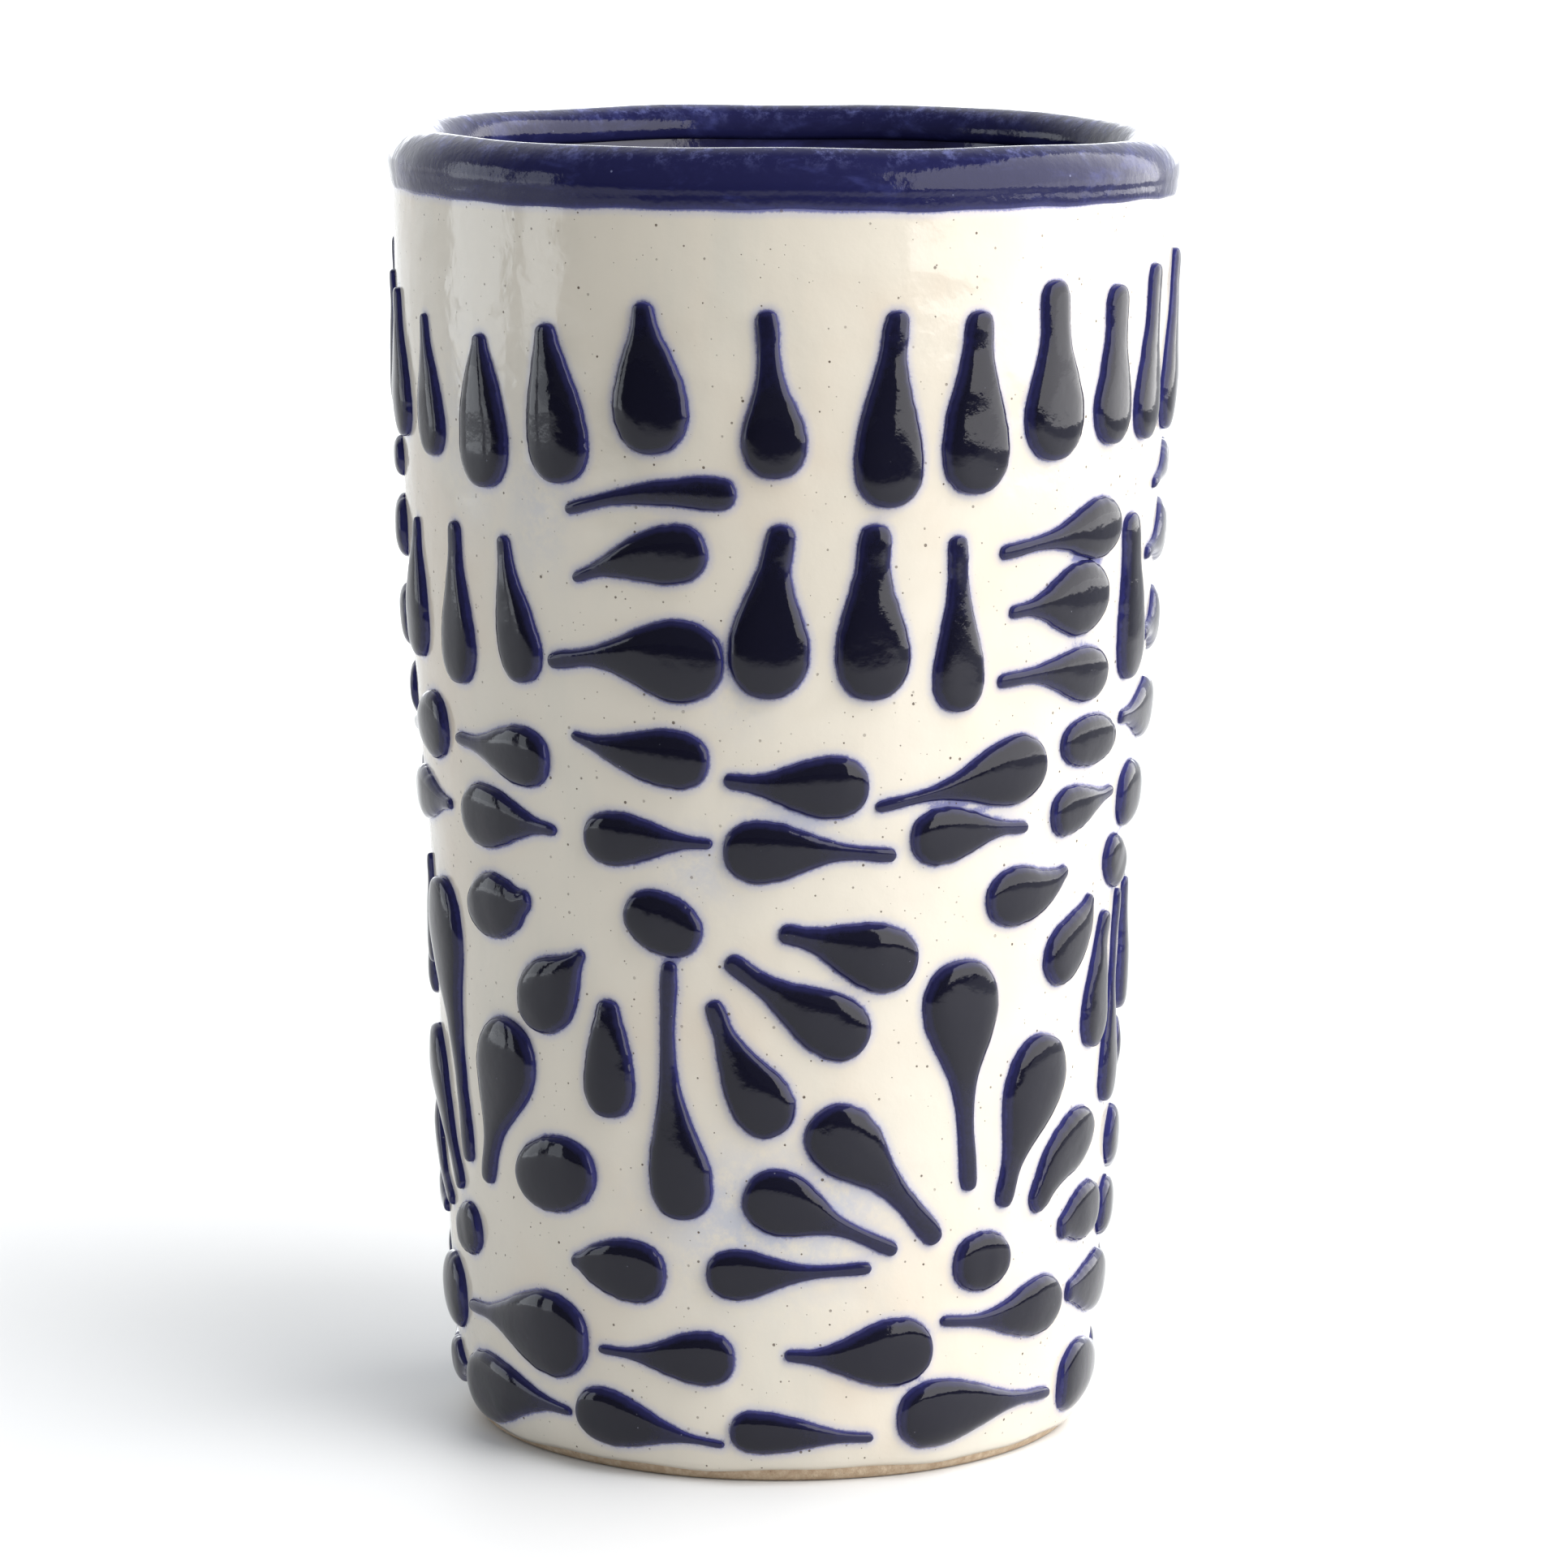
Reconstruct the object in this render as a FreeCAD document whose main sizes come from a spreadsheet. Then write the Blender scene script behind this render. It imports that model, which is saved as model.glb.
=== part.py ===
import FreeCAD, Part
import Sketcher
import math
import os

# A hand-thrown earthenware vase: a fired clay body, three coats of glaze, and raised slip drops.
# Millimetres, +Z up, origin at the centre of the foot. Angle 0 is the front, which faces -Y,
# and angles grow towards +X.

doc = FreeCAD.newDocument("slip_trailed_vase")

# ---- driving dimensions -------------------------------------------------------------------

sizes = {
    "vase_height": 150.0,
    "crest_radius": 42.4,
    "lip_radius": 45.0,          # widest ring of the rolled lip
    "lip_height": 145.0,
    "band_radius": 44.72,        # lower edge of the cobalt rim band
    "band_height": 143.4,
    "shoulder_radius": 43.87,
    "shoulder_height": 118.0,
    "waist_radius": 41.1,
    "waist_height": 76.0,
    "swell_radius": 39.55,
    "swell_height": 50.0,
    "foot_top_radius": 36.95,
    "foot_top_height": 7.0,
    "glaze_line_radius": 35.6,   # the outer coat stops here and leaves the foot bare
    "glaze_line_height": 1.3,
    "foot_radius": 34.4,
    "foot_ring_radius": 29.5,    # inside of the turned foot ring
    "foot_recess": 1.5,
    "mouth_radius": 39.9,        # inside of the lip
    "mouth_height": 146.2,
    "well_radius": 33.2,         # foot of the inner wall
    "well_height": 17.0,
    "floor_radius": 25.0,
    "floor_height": 8.0,
    "coat": 0.5,                 # thickness of one coat of glaze
    "foot_edge_curve": 2.5,
    "foot_curve": 20.0,
    "swell_curve": 879.0,
    "waist_curve": 554.0,
    "shoulder_curve": 1238.0,
    "neck_curve": 718.0,
    "band_curve": 8.0,
    "lip_curve": 4.0,
    "mouth_curve": 3.0,
    "well_curve": 10.0,
    "drop_rise": 1.45,           # height of a drop that is as wide as drop_rise_width
    "drop_rise_width": 8.0,
    "head_length": 1.08,         # length of a drop's round head over half its width
    "egg_share": 0.6,            # a drop whose tail is over this share of its width is an egg
    "back_thinning": 0.06,       # the drops on the back are up to this share slimmer
}

sheet = doc.addObject("Spreadsheet::Sheet", "Sizes")
for row, (alias, number) in enumerate(sizes.items(), start=1):
    sheet.set("A%d" % row, alias)
    sheet.set("B%d" % row, str(number))
    sheet.setAlias("B%d" % row, alias)
doc.recompute()


def size(alias):
    return float(sheet.get(alias))


# A coordinate is a tuple of aliases that are added up, or taken away after a minus sign.

def value_of(terms):
    return sum(-size(term[1:]) if term.startswith("-") else size(term) for term in terms)


def formula_of(terms):
    parts = ["- Sizes." + term[1:] if term.startswith("-") else "+ Sizes." + term for term in terms]
    return " ".join(parts).lstrip("+ ")


# ---- turned pieces ------------------------------------------------------------------------

def arc_middle(start, end, radius):
    """The middle of an arc that bulges to the right of the way from start to end, or to the left
    when radius is negative."""
    across = (end - start)
    half = across.Length / 2
    rise = abs(radius) - math.sqrt(radius * radius - half * half)
    side = FreeCAD.Vector(across.y, -across.x, 0).normalize()
    return (start + end) / 2 + side * math.copysign(rise, radius)


def turned_piece(label, corners):
    """A body of revolution. Each corner is (radius terms, height terms, curve to the next corner),
    where the curve is None for a straight line or (alias, +1 or -1 for the side it bulges to)."""
    body = doc.addObject("PartDesign::Body", label)
    body.Label = label
    sketch = body.newObject("Sketcher::SketchObject", label + "_profile")
    plane = [f for f in body.Origin.OriginFeatures if f.Role == "XZ_Plane"][0]
    sketch.AttachmentSupport = [(plane, "")]
    sketch.MapMode = "FlatFace"
    points = [FreeCAD.Vector(value_of(across), value_of(up), 0) for across, up, curve in corners]
    for k, (across, up, curve) in enumerate(corners):
        start, end = points[k], points[(k + 1) % len(points)]
        if curve is None:
            sketch.addGeometry(Part.LineSegment(start, end), False)
        else:
            middle = arc_middle(start, end, curve[1] * size(curve[0]))
            ends = (start, end) if curve[1] > 0 else (end, start)
            sketch.addGeometry(Part.Arc(ends[0], middle, ends[1]), False)
    start_of = {}
    end_of = {}
    for k, edge in enumerate(sketch.Geometry):
        forward = edge.StartPoint.distanceToPoint(points[k]) < 1e-6
        start_of[k] = 1 if forward else 2
        end_of[k] = 2 if forward else 1
    for k in range(len(points)):
        following = (k + 1) % len(points)
        joint = Sketcher.Constraint("Coincident", k, end_of[k], following, start_of[following])
        sketch.addConstraint(joint)
    for k, (across, up, curve) in enumerate(corners):
        for kind, terms, axis in (("DistanceX", across, -2), ("DistanceY", up, -1)):
            if not terms:
                sketch.addConstraint(Sketcher.Constraint("PointOnObject", k, start_of[k], axis))
                continue
            number = Sketcher.Constraint(kind, k, start_of[k], value_of(terms))
            place = sketch.addConstraint(number)
            sketch.setExpression("Constraints[%d]" % place, formula_of(terms))
        if curve is not None:
            place = sketch.addConstraint(Sketcher.Constraint("Radius", k, size(curve[0])))
            sketch.setExpression("Constraints[%d]" % place, "Sizes." + curve[0])
    turned = body.newObject("PartDesign::Revolution", label + "_turned")
    turned.Profile = sketch
    turned.ReferenceAxis = (sketch, ["V_Axis"])
    turned.Angle = 360.0
    sketch.Visibility = False
    doc.recompute()
    return body


def reversed_chain(chain, last_curve):
    """The same chain of corners walked the other way, so each curve moves to its other end."""
    curves = [None if corner[2] is None else (corner[2][0], -corner[2][1]) for corner in chain]
    flipped = []
    for k in range(len(chain) - 1, -1, -1):
        flipped.append((chain[k][0], chain[k][1], curves[k - 1] if k > 0 else last_curve))
    return flipped


def under_coat(chain):
    """The clay surface below a chain of the wall: the same corners one coat nearer to the axis."""
    return [(across + ("-coat",), up, curve) for across, up, curve in chain]


wall = [
    (("glaze_line_radius",), ("glaze_line_height",), ("foot_curve", 1)),
    (("foot_top_radius",), ("foot_top_height",), ("swell_curve", 1)),
    (("swell_radius",), ("swell_height",), ("waist_curve", -1)),
    (("waist_radius",), ("waist_height",), ("shoulder_curve", 1)),
    (("shoulder_radius",), ("shoulder_height",), ("neck_curve", 1)),
    (("band_radius",), ("band_height",), None),
]

lip_outside = [
    (("band_radius",), ("band_height",), ("band_curve", 1)),
    (("lip_radius",), ("lip_height",), ("lip_curve", 1)),
    (("crest_radius",), ("vase_height",), ("mouth_curve", 1)),
    (("mouth_radius",), ("mouth_height",), None),
]

lip_clay = [
    (("band_radius", "-coat"), ("band_height",), ("band_curve", 1)),
    (("lip_radius", "-coat"), ("lip_height",), ("lip_curve", 1)),
    (("crest_radius",), ("vase_height", "-coat"), ("mouth_curve", 1)),
    (("mouth_radius", "coat"), ("mouth_height",), None),
]

well_outside = [
    (("mouth_radius",), ("mouth_height",), None),
    (("well_radius",), ("well_height",), ("well_curve", -1)),
    (("floor_radius",), ("floor_height",), None),
    ((), ("floor_height",), None),
]

well_clay = [
    (("mouth_radius", "coat"), ("mouth_height",), None),
    (("well_radius", "coat"), ("well_height",), ("well_curve", -1)),
    (("floor_radius",), ("floor_height", "-coat"), None),
    ((), ("floor_height", "-coat"), None),
]

foot = [
    ((), ("foot_recess",), None),
    (("foot_ring_radius", "-foot_recess"), ("foot_recess",), None),
    (("foot_ring_radius",), (), None),
    (("foot_radius",), (), ("foot_edge_curve", 1)),
]

clay_wall = under_coat(wall)[:-1]
clay_body = turned_piece("clay_body", foot + clay_wall + lip_clay[:-1] + well_clay)

outer_coat = turned_piece("cream_outer_glaze", wall + reversed_chain(under_coat(wall), None))

rim_coat = turned_piece("cobalt_rim_glaze", lip_outside + reversed_chain(lip_clay, None))

inner_coat = turned_piece("cobalt_inner_glaze", well_outside + reversed_chain(well_clay, None))

# ---- raised slip drops --------------------------------------------------------------------

# Each drop is trailed from its pointed tail to its round head:
# (tail angle, tail height, head angle, head height, width, tail width, pinch, bow).
# Angles are in degrees, the rest in millimetres. Pinch 1 tapers evenly and a large pinch leaves
# a long thin tail. Bow is how far the drop curves to the left of the way from tail to head.
# A drop whose tail is nearly as wide as its head is an egg-shaped dot.

upper_uprights = [
    (-78.8, 132.0, -76.8, 115.2, 7.0, 2.2, 3.0, 0.0),
    (-64.6, 130.0, -62.6, 114.1, 6.1, 1.4, 2.3, 0.0),
    (-49.1, 128.7, -48.7, 111.6, 8.2, 2.2, 1.2, 0.0),
    (-35.9, 130.5, -33.3, 113.0, 8.1, 2.9, 1.4, 0.0),
    (-19.9, 133.5, -18.5, 116.8, 8.8, 2.5, 1.9, 0.0),
    (-2.3, 132.9, -0.7, 114.5, 7.2, 2.4, 6.3, 0.0),
    (16.4, 132.8, 16.1, 111.3, 7.9, 2.7, 2.8, -0.7),
    (28.8, 132.6, 29.5, 112.4, 8.4, 3.4, 2.6, -0.4),
    (41.9, 135.5, 43.2, 115.5, 8.9, 4.1, 4.5, 0.0),
    (56.4, 134.4, 56.4, 116.5, 7.3, 4.0, 5.5, 0.0),
    (68.8, 136.1, 67.7, 116.3, 6.8, 3.0, 5.0, 0.0),
    (83.8, 137.0, 81.2, 116.4, 8.3, 3.2, 3.5, 0.0),
    (92.4, 133.5, 92.4, 117.5, 5.0, 1.8, 3.0, 0.0),
]

lower_uprights = [
    (-72.1, 106.4, -75.5, 90.2, 7.4, 1.6, 2.0, 0.0),
    (-57.3, 107.2, -58.3, 88.7, 6.9, 2.2, 2.9, 0.0),
    (-45.1, 106.5, -41.5, 90.2, 6.5, 1.9, 2.3, -0.4),
    (0.5, 109.5, -1.1, 90.2, 9.0, 3.2, 3.4, -0.9),
    (13.9, 109.5, 14.6, 90.0, 8.5, 3.6, 3.3, -0.6),
    (26.5, 107.9, 27.9, 88.2, 6.4, 2.3, 4.1, 0.0),
    (64.5, 108.2, 69.3, 89.0, 7.2, 4.0, 2.5, 0.0),
]

left_stack = [
    (-32.7, 110.1, -6.4, 112.6, 3.7, 1.3, 3.0, 1.1),
    (-31.8, 102.5, -10.6, 106.2, 6.7, 1.2, 2.5, 0.8),
    (-36.9, 92.9, -8.3, 93.3, 9.3, 1.9, 4.8, 1.1),
]

right_stack = [
    (33.8, 105.5, 59.8, 107.4, 7.0, 1.6, 6.5, 0.4),
    (36.1, 98.8, 57.4, 99.5, 8.6, 1.5, 3.2, 0.3),
    (34.6, 91.1, 59.1, 89.9, 6.4, 1.6, 4.2, 0.9),
]

side_stack = [
    (75.5, 110.5, 97.0, 112.2, 5.0, 1.2, 3.5, 0.5),
    (73.6, 102.7, 97.5, 104.2, 7.4, 1.5, 3.5, 0.3),
    (75.2, 93.2, 97.2, 93.6, 7.6, 1.7, 4.0, 0.4),
]

upper_wave = [
    (-87.0, 81.3, -64.0, 83.4, 7.9, 1.8, 5.0, 0.0),
    (-60.6, 82.3, -37.8, 81.5, 7.0, 1.5, 3.5, 0.0),
    (-33.2, 85.0, -10.5, 83.1, 6.7, 1.0, 2.0, -0.7),
    (-8.3, 81.0, 13.7, 80.4, 7.2, 1.8, 2.8, -0.4),
    (14.9, 77.8, 45.1, 81.6, 8.0, 1.3, 5.5, 0.2),
    (49.1, 83.0, 64.2, 82.9, 6.1, 4.4, 1.0, 0.0),
    (66.6, 84.6, 88.0, 84.3, 7.2, 1.6, 2.5, 0.0),
]

lower_wave = [
    (-64.6, 74.1, -86.0, 73.8, 6.2, 1.2, 2.0, 0.0),
    (-37.0, 73.7, -59.5, 73.8, 7.4, 1.3, 2.4, -0.3),
    (-10.1, 73.7, -31.4, 73.4, 6.2, 1.2, 2.6, -0.2),
    (18.5, 72.3, -8.4, 72.6, 7.2, 1.6, 5.2, -0.6),
    (42.4, 74.2, 20.9, 73.6, 6.6, 1.4, 3.4, -0.6),
    (66.2, 76.4, 47.9, 74.8, 5.7, 1.4, 2.5, 0.0),
    (90.5, 74.4, 69.6, 75.3, 7.7, 1.5, 3.0, 0.0),
]

filler = [
    (-43.4, 65.6, -58.9, 64.2, 7.6, 2.8, 0.9, 1.0),
    (52.8, 68.7, 35.1, 67.3, 6.9, 1.7, 1.3, 1.5),
    (61.2, 64.8, 48.7, 57.2, 7.0, 1.8, 1.1, 1.2),
    (67.9, 62.2, 65.4, 46.6, 6.5, 2.8, 2.6, -0.6),
    (75.4, 65.6, 66.2, 69.7, 5.8, 3.6, 0.9, 0.0),
    (74.6, 64.0, 74.2, 39.1, 5.8, 1.5, 8.0, 0.0),
    (80.6, 64.5, 86.6, 48.5, 6.4, 2.2, 3.0, 0.8),
    (98.0, 66.5, 95.5, 53.5, 4.6, 1.6, 2.4, 0.0),
    (-31.1, 35.4, -47.9, 33.0, 8.9, 6.0, 0.8, 0.0),
    (-36.3, 24.6, -18.4, 24.0, 7.4, 1.8, 1.0, 0.0),
]

wide_fan_dot = [
    (43.1, 24.6, 31.4, 24.8, 7.0, 5.4, 0.9, 0.0),
]

wide_fan = [
    (33.9, 33.2, 30.7, 59.9, 9.7, 2.1, 8.5, 0.3),
    (41.2, 30.6, 51.8, 49.3, 9.8, 2.6, 3.6, 0.9),
    (49.2, 29.2, 66.7, 37.0, 7.3, 3.6, 1.5, 2.2),
    (57.0, 26.0, 72.6, 27.3, 6.9, 3.2, 1.2, 0.4),
    (28.0, 27.7, 6.1, 42.9, 8.1, 2.6, 8.0, -0.6),
    (20.6, 27.0, -5.0, 34.5, 7.6, 1.7, 7.5, -0.3),
    (16.3, 25.3, -11.4, 24.5, 5.9, 1.4, 7.0, 0.0),
]

hanging_fan_dot = [
    (-12.2, 62.5, -24.4, 66.3, 7.1, 5.0, 1.0, 0.0),
]

hanging_fan = [
    (-17.2, 60.2, -14.4, 30.8, 7.4, 1.7, 9.5, -1.1),
    (-10.3, 56.0, 1.3, 41.3, 7.1, 2.1, 3.3, -0.9),
    (-8.0, 60.8, 14.5, 51.2, 7.4, 2.3, 3.8, -0.4),
    (0.2, 63.9, 22.3, 59.2, 7.8, 2.3, 2.8, 0.4),
    (-28.2, 55.2, -28.2, 41.7, 6.5, 3.0, 1.3, 0.0),
    (-32.6, 60.3, -44.9, 51.4, 8.3, 1.4, 1.7, 0.0),
]

tall_fan_dot = [
    (-61.2, 25.2, -70.7, 23.9, 6.2, 4.6, 0.9, 0.0),
]

tall_fan = [
    (-57.5, 31.1, -48.4, 50.8, 10.2, 2.6, 4.2, 0.2),
    (-64.1, 32.6, -73.2, 64.9, 10.0, 2.4, 9.0, -0.5),
    (-68.9, 28.8, -86.0, 45.5, 7.6, 2.2, 4.0, -0.6),
    (-75.6, 26.3, -101.5, 36.0, 7.2, 1.8, 4.0, 0.4),
    (-84.0, 24.4, -104.5, 26.3, 7.4, 1.8, 2.0, 0.0),
]

low_course = [
    (-92.5, 15.2, -70.7, 15.8, 9.0, 2.0, 3.0, 0.0),
    (-67.8, 15.2, -33.8, 14.6, 10.1, 1.5, 4.1, 0.6),
    (-31.5, 14.6, -6.6, 14.9, 6.4, 1.0, 3.8, -0.2),
    (1.8, 15.4, 27.8, 15.8, 8.0, 1.4, 2.8, -0.6),
    (29.4, 18.4, 58.5, 18.4, 7.0, 1.2, 4.2, -0.8),
    (61.5, 18.2, 83.5, 17.2, 7.3, 2.6, 1.3, 0.0),
]

foot_course = [
    (-72.4, 6.2, -86.0, 6.8, 5.5, 1.2, 3.0, 0.0),
    (-38.3, 6.3, -70.4, 5.3, 8.5, 1.0, 2.4, -0.9),
    (-8.5, 4.6, -36.7, 7.2, 6.8, 0.8, 3.6, 0.0),
    (17.7, 5.3, -7.5, 6.4, 5.1, 1.1, 2.8, -0.1),
    (58.0, 6.8, 22.0, 7.2, 8.1, 1.4, 4.3, -0.5),
    (91.0, 7.6, 61.5, 7.2, 8.5, 1.5, 2.8, 0.0),
]

motifs = {
    "upper_upright_drops": upper_uprights,
    "lower_upright_drops": lower_uprights,
    "left_stack_drops": left_stack,
    "right_stack_drops": right_stack,
    "side_stack_drops": side_stack,
    "upper_wave_drops": upper_wave,
    "lower_wave_drops": lower_wave,
    "filler_drops": filler,
    "wide_fan_petals": wide_fan,
    "wide_fan_dot": wide_fan_dot,
    "hanging_fan_petals": hanging_fan,
    "hanging_fan_dot": hanging_fan_dot,
    "tall_fan_petals": tall_fan,
    "tall_fan_dot": tall_fan_dot,
    "low_course_drops": low_course,
    "foot_course_drops": foot_course,
}


def wall_arcs():
    """The arcs of the wall, foot to rim: (height of the upper end, centre, radius, side)."""
    arcs = []
    for below, above in zip(wall, wall[1:]):
        start = FreeCAD.Vector(value_of(below[0]), value_of(below[1]), 0)
        end = FreeCAD.Vector(value_of(above[0]), value_of(above[1]), 0)
        alias, side = below[2]
        half = (end - start).Length / 2
        outward = FreeCAD.Vector(end.y - start.y, start.x - end.x, 0).normalize()
        away = math.sqrt(size(alias) ** 2 - half ** 2)
        arcs.append((end.y, (start + end) / 2 - outward * (side * away), size(alias), side))
    return arcs


arcs_of_wall = wall_arcs()


def wall_radius(height):
    """Radius of the glazed wall at a height."""
    arc = next((one for one in arcs_of_wall if height <= one[0]), arcs_of_wall[-1])
    top, centre, radius, side = arc
    return centre.x + side * math.sqrt(radius ** 2 - (height - centre.y) ** 2)


def on_wall(along, height, scale, lift):
    """A point over the wall: arc length from the front, height, and lift off the glaze."""
    angle = along / scale
    radius = wall_radius(height) + lift
    return FreeCAD.Vector(radius * math.sin(angle), -radius * math.cos(angle), height)


def girth(length, width, tail_width, pinch):
    """Stations along a drop: (distance from the tail tip, half width), the two tips left out."""
    half = width / 2
    tail = tail_width / 2
    head = size("head_length") * half
    if tail_width > size("egg_share") * width:
        turns = [math.radians(t) for t in (-80, -55, -28, 0, 28, 55, 80)]
        return [(length / 2 * (1 + math.sin(t)), half * math.cos(t)) for t in turns]
    stations = []
    for t in (25, 55, 90):
        turn = math.radians(t)
        stations.append((tail * (1 - math.cos(turn)), tail * math.sin(turn)))
    for share in (0.2, 0.4, 0.6, 0.8):
        swell = (1 - (1 - share) ** 2) ** pinch
        stations.append((tail + (length - head - tail) * share, tail + (half - tail) * swell))
    for t in (0, 30, 55, 78):
        turn = math.radians(t)
        stations.append((length - head + head * math.sin(turn), half * math.cos(turn)))
    return stations


# Half of a drop's cross-section, from its floor on the glaze round to its top:
# (share of the half width, share of the rise).
half_ring = [(0.5, 0), (0.85, 0), (1.0, 0.04), (0.97, 0.36), (0.75, 0.75), (0.4, 0.95)]
ring = [(0, 0)] + half_ring + [(0, 1)] + [(-across, up) for across, up in reversed(half_ring)]


def ring_knots():
    """How far round the ring each of its points is, measured on a drop of the usual width."""
    corners = []
    for across, up in ring + ring[:1]:
        corners.append(FreeCAD.Vector(across * size("drop_rise_width") / 2, up * size("drop_rise"), 0))
    knots = [0.0]
    for start, end in zip(corners, corners[1:]):
        knots.append(knots[-1] + (end - start).Length)
    return knots


knots_of_ring = ring_knots()


def drop_solid(drop, turn):
    """One domed drop that lies on the glaze, lofted from its tail tip to its head tip."""
    tail_angle, tail_height, head_angle, head_height, width, tail_width, pinch, bow = drop
    scale = wall_radius((tail_height + head_height) / 2)
    tail = FreeCAD.Vector(math.radians(tail_angle + turn) * scale, tail_height, 0)
    head = FreeCAD.Vector(math.radians(head_angle + turn) * scale, head_height, 0)
    length = (head - tail).Length
    ahead = (head - tail).normalize()
    left = FreeCAD.Vector(-ahead.y, ahead.x, 0)
    sections = [Part.Vertex(on_wall(tail.x, tail.y, scale, 0))]
    for distance, half in girth(length, width, tail_width, pinch):
        share = distance / length
        middle = tail + ahead * distance + left * (4 * bow * share * (1 - share))
        lean = (ahead + left * (4 * bow * (1 - 2 * share) / length)).normalize()
        across = FreeCAD.Vector(-lean.y, lean.x, 0) * half
        rise = size("drop_rise") * math.sqrt(2 * half / size("drop_rise_width"))
        points = []
        for place, lift in ring:
            spot = middle + across * place
            points.append(on_wall(spot.x, spot.y, scale, lift * rise))
        curve = Part.BSplineCurve()
        curve.interpolate(Points=points, PeriodicFlag=True, Parameters=knots_of_ring)
        sections.append(Part.Wire([curve.toShape()]))
    sections.append(Part.Vertex(on_wall(head.x, head.y, scale, 0)))
    solid = Part.makeLoft(sections, True, False)
    if solid.Volume < 0:
        solid.reverse()
    return solid


def slimmer(drop, order):
    """A drop for the back of the vase: the same stroke, a little slimmer by hand."""
    share = 1 - size("back_thinning") * abs(math.sin(2.4 * order + 1))
    return drop[:4] + (drop[4] * share, drop[5] * share) + drop[6:]


drop_nodes = []
for motif, drops in motifs.items():
    back = [slimmer(drop, order) for order, drop in enumerate(drops)]
    for label, strokes, turn in ((motif, drops, 0), (motif + "_back", back, 180)):
        node = doc.addObject("Part::Feature", label)
        node.Label = label
        node.Shape = Part.makeCompound([drop_solid(stroke, turn) for stroke in strokes])
        drop_nodes.append(node)

# ---- checks and files ---------------------------------------------------------------------

doc.recompute()
nodes = [clay_body, outer_coat, rim_coat, inner_coat] + drop_nodes
for item in doc.Objects:
    if "Invalid" in item.State or "Error" in item.State:
        raise RuntimeError("%s failed: %s" % (item.Label, item.State))
for node in nodes:
    if node.Shape.isNull() or not node.Shape.isValid() or node.Shape.Volume <= 0:
        raise RuntimeError("%s has no valid solid" % node.Label)

os.makedirs("parts", exist_ok=True)
for node in nodes:
    node.Shape.exportStep("parts/%s.step" % node.Label)
    print("%-28s %3d solids %10.1f mm3" % (node.Label, len(node.Shape.Solids), node.Shape.Volume))
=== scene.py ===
import math
import bpy
import numpy as np
from mathutils import Euler, Matrix, Vector, noise


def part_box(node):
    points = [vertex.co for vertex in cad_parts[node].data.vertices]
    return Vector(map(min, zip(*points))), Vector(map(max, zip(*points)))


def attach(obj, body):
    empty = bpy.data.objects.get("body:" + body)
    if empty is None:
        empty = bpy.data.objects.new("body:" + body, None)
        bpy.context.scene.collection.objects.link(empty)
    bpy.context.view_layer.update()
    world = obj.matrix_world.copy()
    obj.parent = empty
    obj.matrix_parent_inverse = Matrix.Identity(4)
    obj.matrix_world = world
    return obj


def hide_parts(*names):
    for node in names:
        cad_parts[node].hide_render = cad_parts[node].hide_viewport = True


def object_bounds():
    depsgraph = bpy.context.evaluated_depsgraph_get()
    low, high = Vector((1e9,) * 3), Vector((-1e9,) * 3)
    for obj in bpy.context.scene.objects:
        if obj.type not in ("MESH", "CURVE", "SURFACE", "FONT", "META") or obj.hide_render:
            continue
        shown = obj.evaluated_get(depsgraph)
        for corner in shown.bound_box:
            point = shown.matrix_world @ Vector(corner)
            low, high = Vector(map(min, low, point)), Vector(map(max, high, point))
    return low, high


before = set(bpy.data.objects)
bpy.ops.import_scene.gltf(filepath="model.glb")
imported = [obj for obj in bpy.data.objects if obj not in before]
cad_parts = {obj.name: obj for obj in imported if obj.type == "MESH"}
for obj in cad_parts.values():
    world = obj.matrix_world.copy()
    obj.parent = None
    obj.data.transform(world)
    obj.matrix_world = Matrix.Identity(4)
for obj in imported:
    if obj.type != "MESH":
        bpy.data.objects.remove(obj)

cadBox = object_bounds()
millimetre = 0.001
print("frame loaded, %d nodes" % len(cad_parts))

# Camera and room

cameraPlace = {
    "distance": 0.75,       # straight out from the front
    "height": 0.1953,
    "tiltDown": 9.19,       # degrees
    "turn": -0.047,
    "roll": 0.5,
    "lens": 150.4,
    "sensor": 36.0,
}


def addCamera():
    lens = bpy.data.cameras.new("camera")
    lens.lens = cameraPlace["lens"]
    lens.sensor_width = cameraPlace["sensor"]
    lens.clip_start = 0.01
    camera = bpy.data.objects.new("camera", lens)
    bpy.context.scene.collection.objects.link(camera)
    aim = Euler((math.radians(90 - cameraPlace["tiltDown"]), 0, math.radians(cameraPlace["turn"])))
    turned = aim.to_matrix() @ Matrix.Rotation(math.radians(cameraPlace["roll"]), 3, "Z")
    camera.rotation_euler = turned.to_euler()
    camera.location = (0, -cameraPlace["distance"], cameraPlace["height"])
    bpy.context.scene.camera = camera


addCamera()
print("camera placed")

# Small tools for meshes


def nodeMesh(name):
    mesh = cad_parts[name].data
    points = np.zeros(len(mesh.vertices) * 3)
    mesh.vertices.foreach_get("co", points)
    mesh.calc_loop_triangles()
    corners = np.zeros(len(mesh.loop_triangles) * 3, dtype=np.int64)
    mesh.loop_triangles.foreach_get("vertices", corners)
    return points.reshape(-1, 3), corners.reshape(-1, 3)


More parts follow.
